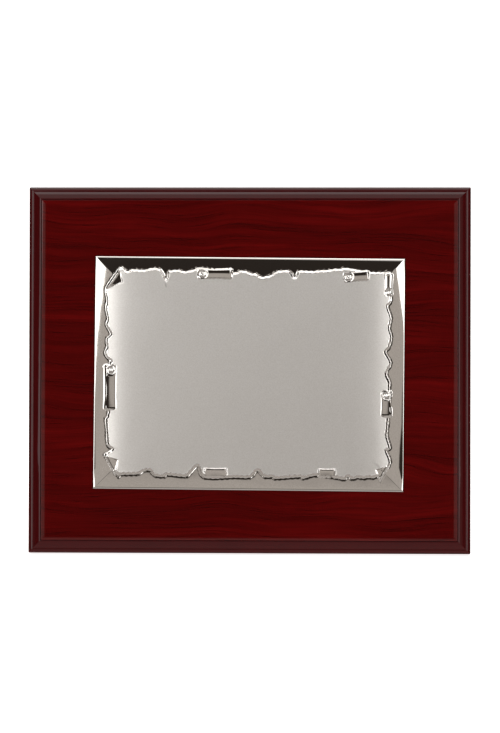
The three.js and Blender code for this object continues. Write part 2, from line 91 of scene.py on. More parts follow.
def node_box(node, where):
    """Lowest and highest corner of a frame node, in millimetres of a drawing frame."""
    local = placed(node_points(node), where.inverted())
    return local.min(0), local.max(0)


board_low, board_high = node_box("board", BOARD)
panel_low, panel_high = node_box("front_panel", BOARD)
plate_low, plate_high = node_box("award_plate", BOARD)
PLATE_TURN = 0.45
plate_middle = (plate_low + plate_high) / 2
PLATE = (
    BOARD
    @ Matrix.Translation((0.0, plate_middle[1], panel_high[2]))
    @ Matrix.Rotation(-math.radians(PLATE_TURN), 4, "Z")
)
joint = frame["joints"][0]
pin_in_board = placed(joint["pos_m"], BOARD.inverted())
opening = math.radians(-joint["range_deg"][0])
HINGE = BOARD @ Matrix.Translation((0.0, pin_in_board[1], pin_in_board[2]))
STRUT = HINGE @ Matrix.Rotation(opening, 4, "X")
print("lean, degrees:", round(math.degrees(math.asin(outward[2])), 2))
print("board, mm:", board_high - board_low)
print("pin above the lower edge, mm:", round(float(pin_in_board[1]), 2))

# %% [markdown]
# ## Rings into a mesh
# Almost every piece here can be drawn as a stack of closed rings: the moulding is a
# profile carried round the board, a screw is a profile turned about an axis, and the
# embossed plate is a set of ever smaller frames. A ring stack is a grid of rows (rings) and
# columns (places round a ring). Neighbouring rings are joined by four-sided faces, and
# the first and last rings are each closed by one flat face, so that the shell has no hole.

# %% Ring stacks
def shell(rings):
    """A closed shell from rings of shape (rows, columns, 3), with one face on each end.

    Point (r, c) has the number r * columns + c, and its quad joins it to (r, c + 1),
    (r + 1, c + 1) and (r + 1, c), with c + 1 wrapped round the columns.
    """
    rows, columns = rings.shape[:2]
    row, column = np.meshgrid(np.arange(rows - 1), np.arange(columns), indexing="ij")
    beside = (column + 1) % columns
    corners = [row * columns + column, row * columns + beside]
    corners += [(row + 1) * columns + beside, (row + 1) * columns + column]
    quads = np.stack(corners, -1).reshape(-1, 4)
    first = np.arange(columns)[::-1]
    last = np.arange(columns) + (rows - 1) * columns
    return {"points": rings.reshape(-1, 3), "quads": quads, "ends": [first, last]}


def volume(part):
    """Signed volume of a shell: one sixth of the sum, over its triangles, of a . (b x c)."""
    points = part["points"] - part["points"].mean(0)
    a, b, c, d = np.moveaxis(points[part["quads"]], 1, 0)
    total = (a * np.cross(b, c)).sum() + (a * np.cross(c, d)).sum()
    for end in part["ends"]:
        fan = points[end]
        total += (fan[0] * np.cross(fan[1:-1], fan[2:])).sum()
    return total / 6


def make_piece(name, parts, material, body, instead_of=(), attributes=None, sharp=35.0):
    """One mesh from closed shells, facing outwards, riding on a body of the frame.

    A shell with a negative volume is inside out, so its faces are turned round.
    """
    points, quads, ends, first = [], [], [], 0
    for part in parts:
        inside_out = volume(part) < 0
        points.append(part["points"])
        quads.append((part["quads"][:, ::-1] if inside_out else part["quads"]) + first)
        ends += [(end[::-1] if inside_out else end) + first for end in part["ends"]]
        first += len(part["points"])
    points, quads = np.concatenate(points), np.concatenate(quads)
    corners = np.concatenate([quads.ravel(), *ends])
    sizes = np.array([4] * len(quads) + [len(end) for end in ends])
    mesh = bpy.data.meshes.new(name)
    mesh.vertices.add(len(points))
    mesh.vertices.foreach_set("co", points.ravel().astype(np.float32))
    mesh.loops.add(len(corners))
    mesh.loops.foreach_set("vertex_index", corners.astype(np.int32))
    mesh.polygons.add(len(sizes))
    mesh.polygons.foreach_set("loop_start", (np.cumsum(sizes) - sizes).astype(np.int32))
    mesh.polygons.foreach_set("use_smooth", np.ones(len(sizes), bool))
    mesh.update(calc_edges=True)
    for label, values in (attributes or {}).items():
        mesh.attributes.new(label, "FLOAT", "POINT").data.foreach_set("value", values.astype(np.float32))
    mesh.validate()
    mesh.set_sharp_from_angle(angle=math.radians(sharp))
    mesh.materials.append(material)
    thing = bpy.data.objects.new(name, mesh)
    bpy.context.scene.collection.objects.link(thing)
    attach(thing, body)
    if instead_of:
        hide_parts(*instead_of)
    print(f"{name}: {len(points)} points, {sum(sizes - 2)} triangles")


# %% [markdown]
# ## Outlines and profiles
# A profile is a short list of corners. Real edges are never knife sharp, so each corner
# gives way to a small curve that starts and ends a little way along its two sides. A
# rounded rectangle that shrinks by an inset gives the rings of every board-like piece,
# and its corners stay mitred, as a router leaves them.

# %% Profiles and rectangles
def eased(corners, reach, steps=4):
    """Rounds the inner corners of a polyline.

    A corner P becomes (1-s)^2 A + 2s(1-s) P + s^2 B for s from 0 to 1, with A and B at the
    given reach from P along its two sides.
    """
    points = np.asarray(corners, float)
    corner = points[1:-1]
    back, ahead = points[:-2] - corner, points[2:] - corner
    far_back, far_ahead = np.linalg.norm(back, axis=1), np.linalg.norm(ahead, axis=1)
    near = np.minimum(np.minimum(reach, 0.49 * far_back), 0.49 * far_ahead)
    a = corner + back * (near / far_back)[:, None]
    b = corner + ahead * (near / far_ahead)[:, None]
    s = np.linspace(0, 1, steps + 1)[None, :, None]
    curve = (1 - s) ** 2 * a[:, None] + 2 * s * (1 - s) * corner[:, None] + s**2 * b[:, None]
    return np.concatenate([points[:1], curve.reshape(-1, 2), points[-1:]])


def rectangle_rings(profile, width, height, radius, steps=6, middle=(0.0, 0.0), least=0.05):
    """Rounded rectangles, one for each (inset, height) of a profile.

    A corner is an arc whose radius is the outer radius less the inset.
    """
    profile = np.asarray(profile, float)
    inset, rise = profile[:, :1], profile[:, 1:]
    turn = np.linspace(0, math.pi / 2, steps + 1)
    angle = (turn[None, :] + np.arange(4)[:, None] * math.pi / 2).ravel()
    side_x = np.repeat([1.0, -1.0, -1.0, 1.0], steps + 1)
    side_y = np.repeat([1.0, 1.0, -1.0, -1.0], steps + 1)
    bend = np.maximum(radius - inset, least)
    x = middle[0] + side_x * (width / 2 - inset - bend) + bend * np.cos(angle)
    y = middle[1] + side_y * (height / 2 - inset - bend) + bend * np.sin(angle)
    return np.stack([x, y, np.broadcast_to(rise, x.shape)], -1)


def turned_rings(profile, sides, middle=(0.0, 0.0)):
    """A profile of (radius, height) turned about Z: x = r cos a and y = r sin a."""
    profile = np.asarray(profile, float)
    angle = np.linspace(0, 2 * math.pi, sides, endpoint=False)
    x = middle[0] + profile[:, :1] * np.cos(angle)
    y = middle[1] + profile[:, :1] * np.sin(angle)
    return np.stack([x, y, np.broadcast_to(profile[:, 1:], x.shape)], -1)


def in_world(rings, where):
    """A shell in the world from rings in a drawing frame."""
    return shell(placed(rings, where))


# %% [markdown]
# ## Adding nodes to a material
# A shader tree is a set of nodes with settings and links. One small function is enough
# for all of them: capital names and numbers are sockets, the rest are settings, and a
# value that is itself a socket becomes a link. Colours are written as the sRGB hex values
# a painter would pick, and turned into the linear values that light works in.
# A value that is a whole node is linked by the first of its outputs that is in use.

# %% Shader helpers
def linear(hex_colour):
    """An sRGB hex colour as linear RGBA: c/12.92 in the darks and ((c + 0.055)/1.055)^2.4 above."""
    srgb = np.array([(hex_colour >> shift) & 255 for shift in (16, 8, 0)]) / 255
    lit = np.where(srgb <= 0.04045, srgb / 12.92, ((srgb + 0.055) / 1.055) ** 2.4)
    return (*lit.tolist(), 1.0)


def fill(tree, node, **sockets):
    """Sets or links a node's sockets: _0 is socket number 0, and a name has _ for a space."""
    for key, value in sockets.items():
        socket = node.inputs[int(key[1:]) if key[0] == "_" else key.replace("_", " ")]
        if isinstance(value, bpy.types.Node):
            value = next(output for output in value.outputs if output.enabled)
        if isinstance(value, bpy.types.NodeSocket):
            tree.links.new(value, socket)
        else:
            socket.default_value = value


def add(tree, kind, **settings):
    """Adds a node. A setting in lower case is a property, and any other is a socket."""
    made = tree.nodes.new("ShaderNode" + kind)
    properties = [key for key in settings if key[0].islower()]
    for key in properties:
        setattr(made, key, settings.pop(key))
    fill(tree, made, **settings)
    return made


def finish_named(name):
    """A new material, its node tree, its surface shader and its object coordinates in metres."""
    material = bpy.data.materials.new(name)
    material.use_nodes = True
    tree = material.node_tree
    shader = next(n for n in tree.nodes if n.type == "BSDF_PRINCIPLED")
    return material, tree, shader, add(tree, "TexCoord").outputs["Object"]


def per_mm(size):
    """A pattern's scale on coordinates in metres, for features this many millimetres across."""
    return 1 / (size * MM)


# %% [markdown]
# ## Maroon lacquer
# The board is fibreboard under a near-black maroon lacquer, sprayed thick and left to
# flow out. A coat layer over a dark base gives the deep gloss, and a very shallow bump a few
# millimetres across is the orange peel that sprayed lacquer keeps. The eye reads it in the
# way reflections along the moulding wander a little.

# %% Lacquer
maroon_lacquer, tree, shader, place = finish_named("sprayed_maroon_lacquer")
clouds = add(tree, "TexNoise", Vector=place, Scale=per_mm(22), Detail=3.0)
tint = add(tree, "Mix", data_type="RGBA", _0=clouds, _6=linear(0x2E0304), _7=linear(0x3A0406))
peel = add(tree, "TexNoise", Vector=place, Scale=per_mm(3.5), Detail=1.0)
dust = add(tree, "TexNoise", Vector=place, Scale=per_mm(0.5), Detail=2.0)
skin = add(tree, "Math", operation="MULTIPLY_ADD", _0=dust, _1=0.15, _2=peel)
bump = add(tree, "Bump", Strength=0.10, Distance=0.1 * MM, Height=skin)
fill(tree, shader, Base_Color=tint, Normal=bump, Roughness=0.5, IOR=1.5, Specular_IOR_Level=0.0)
fill(tree, shader, Coat_Normal=bump, Coat_Weight=1.0, Coat_Roughness=0.04, Coat_IOR=1.4)

# %% [markdown]
# ## Grained panel
# The panel is printed or stained wood under the same clear gloss: red-brown, with the
# grain running across. Its figure has three sizes. Broad bands a centimetre deep wander
# up and down, thin growth lines follow them a millimetre or two apart, and short dark pores
# are drawn out along the grain. All three read one warped position, so they bend together.

# %% Grained panel finish
grained_lacquer, tree, shader, place = finish_named("grained_wood_under_gloss")
WANDER = 20.0
unlean = (math.asin(outward[2]), 0.0, 0.0)
upright = add(tree, "Mapping", Vector=place, Rotation=unlean)
wide = add(tree, "Mapping", Vector=upright, Scale=(0.42, 1.0, 1.0))
wander = add(tree, "TexNoise", Vector=wide, Scale=per_mm(30), Detail=1.0, Roughness=0.4)
lift = add(tree, "Math", operation="MULTIPLY_ADD", _0=wander, _1=WANDER * MM, _2=-WANDER / 2 * MM)
lifted = add(tree, "CombineXYZ", Z=lift)
flow = add(tree, "VectorMath", operation="ADD", _0=upright, _1=lifted)
bands_at = add(tree, "Mapping", Vector=flow, Scale=(0.06, 1.0, 1.0))
bands = add(tree, "TexNoise", Vector=bands_at, Scale=per_mm(8), Detail=3.0, Roughness=0.55)
lines_at = add(tree, "Mapping", Vector=flow, Scale=(0.02, 1.0, 1.0))
lines = add(tree, "TexNoise", Vector=lines_at, Scale=per_mm(1.5), Detail=3.0, Roughness=0.7)
pores_at = add(tree, "Mapping", Vector=flow, Scale=(0.03, 1.0, 1.0))
pores = add(tree, "TexNoise", Vector=pores_at, Scale=per_mm(0.8), Detail=2.0, Roughness=0.5)
line_dark = add(tree, "MapRange", Value=lines, _1=0.36, _2=0.62, _3=0.74, _4=1.11)
pore_dark = add(tree, "MapRange", Value=pores, _1=0.30, _2=0.42, _3=0.70, _4=1.0)
figure = add(tree, "Math", operation="MULTIPLY", _0=line_dark, _1=pore_dark)
band_tone = add(tree, "ValToRGB", Fac=bands)
dark_band, light_band = band_tone.color_ramp.elements
dark_band.position = 0.30
dark_band.color = linear(0x3C0404)
light_band.position = 0.70
light_band.color = linear(0x500606)
band_tone.color_ramp.elements.new(0.5).color = linear(0x440404)
stained = add(tree, "VectorMath", operation="SCALE", _0=band_tone, Scale=figure)
grain_bump = add(tree, "Bump", Strength=0.08, Distance=0.1 * MM, Height=figure)
peel = add(tree, "TexNoise", Vector=place, Scale=per_mm(4), Detail=1.0)
gloss_bump = add(tree, "Bump", Strength=0.06, Distance=0.1 * MM, Height=peel)
fill(tree, shader, Base_Color=stained, Normal=grain_bump, Roughness=0.5, IOR=1.5)
fill(tree, shader, Specular_IOR_Level=0.0, Coat_Normal=gloss_bump)
fill(tree, shader, Coat_Weight=1.0, Coat_Roughness=0.05, Coat_IOR=1.5)

# %% [markdown]
# ## The moulded board
# A router cuts the edge in one pass: a round bead at the outside, a steep slope, then a
# gentler one that climbs to a thin lip round the panel. The profile is drawn once and
# carried round the board. It goes on over the lip and down into the recess that the panel
# lies in, so the joint between lip and panel is a real groove.

# %% Board
BEAD = 3.0
SLOPE_WIDTH, SLOPE_RISE = 1.9, 1.3
SHELF_WIDTH, SHELF_RISE = 2.5, 1.15
LIP = 0.7
PANEL_GAP = 0.3
board_width, board_height, board_thickness = board_high - board_low
board_middle = (0.0, board_height / 2)
bead_foot = board_thickness - SHELF_RISE - SLOPE_RISE - BEAD
recess = BEAD + SLOPE_WIDTH + SHELF_WIDTH + LIP
recess_floor = panel_low[2] - PANEL_GAP
quarter = np.linspace(0, math.pi / 2, 13)
bead_curve = np.column_stack([BEAD * (1 - np.cos(quarter)), bead_foot + BEAD * np.sin(quarter)])
back_edge = eased([[4.0, 0.0], [0.0, 0.0], [0.0, bead_foot * 0.6]], 0.5)
stepped = eased([
    [BEAD - 0.05, bead_foot + BEAD],
    [BEAD + 0.15, bead_foot + BEAD],
    [BEAD + SLOPE_WIDTH, board_thickness - SHELF_RISE],
    [recess - LIP, board_thickness],
    [recess, board_thickness],
    [recess, recess_floor],
    [recess + 3, recess_floor],
], 0.35)
moulding = np.concatenate([back_edge, bead_curve[:-1], stepped])
board_rings = rectangle_rings(moulding, board_width, board_height, 0.7, middle=board_middle)
make_piece(
    "moulded_board", [in_world(board_rings, BOARD)], maroon_lacquer,
    "plaque", ["board"],
)

# %% [markdown]
# ## The panel
# The panel is a thin sheet with its upper edges just broken, so the gloss turns over them
# and catches a fine line of light.

# %% Panel
panel_width, panel_height = (panel_high - panel_low)[:2]
panel_profile = eased(
    [[3.0, panel_low[2]], [0.0, panel_low[2]], [0.0, panel_high[2]], [3.0, panel_high[2]]],
    0.2,
)
panel_rings = rectangle_rings(panel_profile, panel_width, panel_height, 0.3, middle=board_middle)
make_piece(
    "grained_panel", [in_world(panel_rings, BOARD)], grained_lacquer,
    "plaque", ["front_panel"],
)

# %% [markdown]
# ## Silvered plate
# The plate is thin brass or aluminium, pressed in a die and silvered. The border and the
# slopes of the relief are polished, so they act as mirrors. The parchment field was blasted
# with fine grit after polishing, which makes it satin: bright, soft, a little grainy and
# without a sharp reflection. One material holds both. A number on each point of the mesh,
# from 0 for polish to 1 for blast, sets the roughness and how much of the grit shows. Real
# grit leaves marks a tenth of a millimetre across. Here they are 0.7 mm, so that they show.

# %% Silver finish
silvered_metal, tree, shader, place = finish_named("polished_and_blasted_silver")
blast = add(tree, "Attribute", attribute_name="blast").outputs["Fac"]
grit = add(tree, "TexNoise", Vector=place, Scale=per_mm(0.7), Detail=3.0, Roughness=0.7)
grit_height = add(tree, "Math", operation="MULTIPLY", _0=grit, _1=blast)
grit_bump = add(tree, "Bump", Strength=0.6, Distance=0.1 * MM, Height=grit_height)
wave = add(tree, "TexNoise", Vector=place, Scale=per_mm(14), Detail=1.0)
bump = add(tree, "Bump", Strength=0.10, Distance=0.4 * MM, Height=wave, Normal=grit_bump)
cloud = add(tree, "TexNoise", Vector=place, Scale=per_mm(30), Detail=2.0)
satin = add(tree, "MapRange", Value=cloud, _1=0.3, _2=0.7, _3=0.345, _4=0.355)
roughness = add(tree, "Mix", data_type="FLOAT", _0=blast, _2=0.05, _3=satin)
tone = add(tree, "Mix", data_type="RGBA", _0=grit, _6=linear(0xDCD8D2), _7=linear(0xFFFDFA))
fill(tree, shader, Base_Color=tone, Roughness=roughness, Normal=bump, Metallic=1.0)

# %% [markdown]
# ## The torn edge of the parchment
# The field is drawn as a sheet of parchment with a torn edge. Each side is a list of
# places along it and the depth of the bite there, with one place for each tooth or notch
# of the tear, and a negative depth stands out. The corners are joined by a flowing curve.

# %% Torn outline
PLATE_WIDTH, PLATE_HEIGHT, BORDER = 196.0, 147.0, 8.0
half_w, half_h = PLATE_WIDTH / 2, PLATE_HEIGHT / 2
field_w, field_h = half_w - BORDER, half_h - BORDER
torn_below = np.array([
    [-82, 0.6], [-81, 1.2], [-73.5, 1.5], [-69, 1.9], [-65.5, 3.7], [-61.5, 4], [-59, 0.9], [-53, 0.2],
    [-51, 1.4], [-40, 0.4], [-36.5, 2.5], [-31.7, 7.3], [-27, -0.2], [-8.5, 0.3], [1.3, 0.4],
    [6.1, 4.9], [10.3, 0.8], [15.7, 0.8], [17.8, -0.2], [33, 1], [35, 0], [43, 2.1], [57.3, 0.3],
    [61, -0.3], [63, 1.7], [65.7, 0], [69.5, 1], [72.8, 0.5], [76, 1.1], [81, 1.5],
])
torn_right = np.array([
    [-57, 1], [-52, 1.1], [-47.5, 3.1], [-46.2, 0.5], [-39, 2.6], [-35, 2.5], [-28.5, 2], [-10.5, 1.5],
    [-4.4, 1.3], [1.1, 3.4], [7.7, 0.5], [14.4, 4.1], [17, 2], [24, 0.3], [29.5, 1.8], [36, 0.7],
    [43.5, 3.1], [47, 0.8], [64, 1],
])
torn_above = np.array([
    [-83.3, 0.4], [-81.2, -0.8], [-77.5, 1.6], [-74.5, 0.3], [-67, 0.6], [-61, -0.7], [-56.3, 0.5],
    [-52.8, 6.3], [-51.9, 1.9], [-51, 1], [-45, 0.4], [-41.4, 1.4], [-35.4, 0.1], [-30.5, -1.2],
    [-10.3, 1.8], [-6.6, 0.6], [-2.5, 0.8], [1, 2.3], [3.7, 2.3], [7.4, 4.4], [13.4, 3.1], [16.6, 1],
    [19.5, 0.3], [25, 0.4], [28.2, 4.7], [30.2, 1.3], [31.6, 0.2], [40, 0.5], [43, 0], [49, -0.3],
    [54, -1.2], [57, -1], [61, -1.7], [76.5, 0.7], [85, 0.6],
])
torn_left = np.array([
    [-53, -0.3], [-51, 0.3], [-48.3, 4.5], [-46, 1.2], [-35, 0.2], [-29, -0.3], [-25, 1.4], [5, 1.7],
    [7.2, 2.8], [9.2, 0.3], [12.4, -1.3], [16.6, 0.1], [18.6, -0.4], [21.8, -0.1], [24.4, 2.4],
    [30, -0.6], [34, 0.3], [38, -0.6], [42, -0.9], [46.4, -0.3], [53.5, -1.1],
])
torn_edge = np.concatenate([
    np.column_stack([torn_below[:, 0], torn_below[:, 1] - field_h]),
    np.column_stack([field_w - torn_right[:, 1], torn_right[:, 0]]),
    np.column_stack([torn_above[::-1, 0], field_h - torn_above[::-1, 1]]),
    np.column_stack([torn_left[::-1, 1] - field_w, torn_left[::-1, 0]]),
])


def flowing(outline, steps=3):
    """A closed curve through all the corners.

    For corners p0 to p3 and s from 0 to 1, the stretch from p1 to p2 is half of
    2 p1 + (p2 - p0) s + (2 p0 - 5 p1 + 4 p2 - p3) s^2 + (3 p1 - p0 - 3 p2 + p3) s^3.
    """
    p0, p1, p2, p3 = (np.roll(outline, shift, axis=0)[:, None] for shift in (1, 0, -1, -2))
    s = np.linspace(0, 1, steps, endpoint=False)[None, :, None]
    curve = 2 * p1 + (p2 - p0) * s + (2 * p0 - 5 * p1 + 4 * p2 - p3) * s**2
    return ((curve + (3 * p1 - p0 - 3 * p2 + p3) * s**3) / 2).reshape(-1, 2)


torn_curve = flowing(torn_edge)
print("torn edge:", len(torn_edge), "corners,", len(torn_curve), "points on its curve")

# %% [markdown]
# The relief needs to know how far each place is from the tear. That is a signed distance:
# the shortest way to any stretch of the outline, positive inside.

# %% Distance to the tear
def inside_distance(points, outline, batch=6000):
    """Signed distance from points to a closed outline, worked out a batch at a time.

    For a stretch from a to b it is the length of p - (a + t (b - a)), with t held between
    0 and 1. A point is inside where a ray from it crosses the outline an odd number of times.
    """
    a, b = outline, np.roll(outline, -1, axis=0)
    side = b - a
    found = []
    for start in range(0, len(points), batch):
        p = points[start:start + batch, None, :]
        t = np.clip(((p - a) * side).sum(-1) / (side**2).sum(-1), 0, 1)
        far = np.linalg.norm(p - a - t[..., None] * side, axis=-1).min(1)
        crosses = (a[:, 1] > p[..., 1]) != (b[:, 1] > p[..., 1])
        at = a[:, 0] + (p[..., 1] - a[:, 1]) * side[:, 0] / np.where(side[:, 1] == 0, 1, side[:, 1])
        odd = (crosses & (p[..., 0] < at)).sum(1) % 2
        found.append(np.where(odd == 1, far, -far))
    return np.concatenate(found)


# %% [markdown]
# ## The height of the plate
# The whole plate is one height above the panel for each place on it. The border rises
# from a rounded rim and flattens towards the field. Like any pressed sheet it isn't quite
# even: it is steeper at the top and the lower right corner is bent flat. The field falls
# away near its two short sides, so reflections brighten there.

# %% Border and field
RIM_FOOT, BORDER_FOOT, FIELD = 0.3, 1.15, 2.25
BORDER_SLOPE = 0.06
RIM_ROUNDING = 0.4
HEM = 0.16
CORNER_BEND = 0.13
FIELD_FALL = 1.45


def smooth(t):
    """0 below 0, 1 above 1, and 3t^2 - 2t^3 between."""
    t = np.clip(t, 0, 1)
    return t * t * (3 - 2 * t)


def border_height(x, y, inset):
    """The border's level at an inset d from the plate's edge.

    foot + slope d + 5 k (1 - e^(-d/5)) - f d e^(-d/4) - h (1 - e^(-d/1.5)) - 0.4 e^(-d/r)

    The warp k is about 0.2 at the top and dies away downwards, faster on the right. The
    bend f is only near the lower right corner, and the hem h runs down the two sides. The
    rim's length r is 0.32, and 0.14 at the sides.
    """
    side = x / half_w
    down = 1 - y / half_h
    nearer_side = smooth((half_h - np.abs(y) - half_w + np.abs(x)) / 12)
    warp = (0.185 + 0.085 * side) * np.exp(-down / (0.71 - 0.28 * side))
    bend = CORNER_BEND * smooth((side - 0.3) / 0.4) * smooth((down - 1.4) / 0.45) * nearer_side
    hem = HEM * nearer_side * smooth((down - 0.78 + 0.28 * side) / 0.3)
    rise = BORDER_FOOT + BORDER_SLOPE * inset + 5 * warp * (1 - np.exp(-inset / 5))
    bent = bend * inset * np.exp(-inset / 4) + hem * (1 - np.exp(-inset / 1.5))
    return rise - bent - RIM_ROUNDING * np.exp(-inset / (0.32 - 0.18 * nearer_side))


def field_height(x, y):
    """The field's level. It falls by 1.45 e^(-e/8) at a distance e from a short side."""
    from_side = np.maximum(field_w - np.abs(x), -2)
    return FIELD + FIELD_FALL - FIELD_FALL * np.exp(-from_side / 8)


# %% [markdown]
# ## Curls and folded corners
# The parchment's edge rolls over in seven curls, and three of its corners are folded.
# Each of them says how much of the plate it covers at a place, from 0 to 1, and its own
# level there. A curl's crest is a place across the roll, from -1 to 1, and a spiral shows at
# one of its ends. A fold is the two ends of its outer edge, its inner corner and its slope.

# %% Curls
curls = [
    {"at": (-22.0, 62.9), "length": 22.5, "width": 7.4, "angle": 0, "crest": 0.35, "spiral": -1},
    {"at": (67.0, 62.0), "length": 16.5, "width": 7.4, "angle": 5, "crest": 0.35, "spiral": -1},
    {"at": (87.5, 57.0), "length": 15.0, "width": 6.0, "angle": 90, "crest": 0.0, "spiral": -1},
    {"at": (86.7, -18.0), "length": 17.0, "width": 7.5, "angle": 90, "crest": -0.85, "spiral": 1},
    {"at": (49.8, -62.0), "length": 11.5, "width": 6.4, "angle": 0, "crest": 0.75, "spiral": 0},
    {"at": (-20.3, -62.5), "length": 15.0, "width": 6.8, "angle": 0, "crest": 0.75, "spiral": 0},
    {"at": (-87.3, -9.3), "length": 29.0, "width": 8.0, "angle": 90, "crest": 0.75, "spiral": 1},
]
CURL_SINK, CURL_RISE = 0.35, 0.95
CURL_CORNER = 1.8
SPIRAL_PITCH = 2.1


def curl_cover(along, over, half_length, half_width):
    """1 on a rounded rectangle and 0 off it, by the distance in from its edge."""
    out_x = np.maximum(np.abs(along) - half_length + CURL_CORNER, 0)
    out_y = np.maximum(np.abs(over) - half_width + CURL_CORNER, 0)
    straight = np.minimum(half_length - np.abs(along), half_width - np.abs(over))
    corner = CURL_CORNER - np.hypot(out_x, out_y)
    return smooth(np.where((out_x == 0) & (out_y == 0), straight, corner) / 0.75)


def curl_height(x, y, curl):
    """How much of a curl covers a place, and its level there.

    With q the distance from the crest over that from crest to edge, the short side is a dome,
    root of 1 - 0.97 q^2, and the long side falls as 1 - 0.6 (root(q^2 + 0.04) - 0.2). The
    roll flares at its ends. Its spiral is the wave cos(2 pi radius / pitch - angle).
    """
    turn = math.radians(curl["angle"])
    dx, dy = x - curl["at"][0], y - curl["at"][1]
    along = dx * math.cos(turn) + dy * math.sin(turn)
    over = -dx * math.sin(turn) + dy * math.cos(turn)
    half_length = curl["length"] / 2
    half_width = curl["width"] / 2 * (0.88 + 0.12 * (along / half_length) ** 2)
    t = over / half_width - curl["crest"]
    q = np.where(t > 0, t / (1 - curl["crest"]), -t / (1 + curl["crest"]))
    dome = np.sqrt(np.clip(1 - 0.97 * q**2, 0, 1))
    ramp = 1 - 0.60 * (np.sqrt(q**2 + 0.04) - 0.2)
    dome = np.where(t * curl["crest"] < 0, ramp, dome)
    end_bead = 0.12 * np.exp(-(((half_length - 1.0 - np.abs(along)) / 0.6) ** 2))
    base = field_height(*curl["at"]) - CURL_SINK
    level = base + CURL_RISE * dome + end_bead
    if curl["spiral"]:
        middle = curl["spiral"] * (half_length - 0.85 * curl["width"] / 2)
        radius = np.hypot(along - middle, over)
        angle = np.arctan2(over, along - middle)
        disc = smooth((curl["width"] / 2 - radius) / 0.9)
        wave = np.cos(2 * math.pi * radius / SPIRAL_PITCH - angle)
        level = level * (1 - disc) + disc * (base + 0.5 + 0.22 * wave)
    return curl_cover(along, over, half_length, half_width), level


# %% [markdown]
# A folded corner is a flat facet turned over the parchment, with a bright bead where the
# sheet bends. It covers a triangle, and a place is inside that when it is on the inner side of
# all three edges.

# %% Folded corners
folds = [
    ((-91.0, 53.2), (-82.5, 65.6), (-80.3, 57.0), -0.07),
    ((-84.0, -65.0), (-90.8, -52.3), (-82.0, -55.2), 0.09),
    ((88.8, -56.8), (83.2, -67.0), (80.4, -59.6), 0.09),
]


def fold_height(x, y, fold):
    """How much of a folded corner covers a place, and its level there.

    The facet slopes with the distance a from its outer edge, which has a raised bead on it,
    0.3 e^(-((a - 0.3) / 0.45)^2).
    """
    corners = [np.array(corner) for corner in fold[:3]]
    slope = fold[3]
    centre = sum(corners) / 3
    away = []
    for start, end in zip(corners, corners[1:] + corners[:1]):
        normal = np.array([end[1] - start[1], start[0] - end[0]]) / np.linalg.norm(end - start)
        normal *= np.sign(normal @ (centre - start))
        away.append((x - start[0]) * normal[0] + (y - start[1]) * normal[1])
    cover = smooth((np.minimum(np.minimum(away[0], away[1]), away[2]) + 0.2) / 0.7)
    bead = 0.3 * np.exp(-(((away[0] - 0.3) / 0.45) ** 2))
    return cover, field_height(*centre) - 0.05 + slope * (away[0] - 4) + bead


# %% [markdown]
# ## The relief as one function
# A fine groove runs along the foot of the torn edge, then a smooth step climbs to the
# field over about a millimetre, with a slight shoulder at its top. The curls and folds are
# laid over that. They stay polished, as the border does.

# %% Relief
STEP_WIDTH = 1.1
GROOVE, SHOULDER = 0.14, 0.04
RIPPLE = 0.12


def relief(x, y):
    """Height of the plate and how much it is blasted, for each place on it."""
    inset = np.maximum(np.minimum(half_w - np.abs(x), half_h - np.abs(y)), 0)
    inside = inside_distance(np.column_stack([x, y]), torn_curve)
    inside += RIPPLE * (np.sin(2.1 * x + 0.7 * y) + np.sin(2.7 * y - 1.9 * x))
    climb = smooth(inside / STEP_WIDTH)
    groove = GROOVE * np.exp(-(((inside + 0.3) / 0.45) ** 2))
    shoulder = SHOULDER * np.exp(-(((inside - 1.3) / 0.45) ** 2))
    height = border_height(x, y, inset) * (1 - climb) + field_height(x, y) * climb
    height += shoulder - groove
    blasted = smooth((inside - 0.9) / 0.6)
    laid_over = [curl_height(x, y, curl) for curl in curls]
    laid_over += [fold_height(x, y, fold) for fold in folds]
    for cover, level in laid_over:
        height = height * (1 - cover) + level * cover
        blasted = blasted * (1 - smooth(cover * 3))
    return height, blasted


# %% [markdown]
# ## Rings that follow the tear
# A plain grid would cut across the torn edge in steps, which mirrors show at once. So the
# plate is a stack of rectangular rings, and each ring is pushed inwards by the bite of the
# tear at that place, fully near the tear and not at all at the rim or in the middle. The
# step then lies along the rings. The underside is a second, coarser set, one thickness lower,
# so the plate is a real pressed tray with room for its card and tape.

# %% Plate mesh
across_the_tear = np.arange(5.95, 17.6, 0.35)
top_insets = np.concatenate([
    [0.0, 0.12, 0.25, 0.4, 0.6, 0.85, 1.15, 1.5, 2.0, 2.6, 3.3, 4.1, 4.9, 5.6],
    across_the_tear,
    [18.2, 19.0, 20.5, 22.5, 26.0, 31.0, 38.0, 47.0, 58.0],
])
columns_x, columns_y = 388, 290


def plate_frame(insets, pushed):
    """Rectangles at the given insets, as x and y.

    A place is u along its side, from -1 to 1. Each side's inset grows by the bite there times
    the push, which is 1 near the tear, and fades out over the last 8 mm before a corner.
    """
    ux = np.linspace(-1, 1, columns_x, endpoint=False)
    uy = np.linspace(-1, 1, columns_y, endpoint=False)
    d = insets[:, None]
    push = pushed * np.interp(insets, [2.6, 6.3, 11.0, 22.5], [0, 1, 1, 0])[:, None]

    def side(u, reach, depth, tears):
        place_along = u[None, :] * (reach - d)
        bite = np.interp(place_along, tears[:, 0], tears[:, 1])
        bite = bite * smooth((reach - BORDER - np.abs(place_along)) / 8)
        return place_along, depth - d - push * bite

    below_x, below_y = side(ux, half_w, half_h, torn_below)
    right_y, right_x = side(uy, half_h, half_w, torn_right)
    above_x, above_y = side(-ux, half_w, half_h, torn_above)
    left_y, left_x = side(-uy, half_h, half_w, torn_left)
    x = np.concatenate([below_x, right_x, above_x, -left_x], 1)
    y = np.concatenate([-below_y, right_y, above_y, left_y], 1)
    return x, y


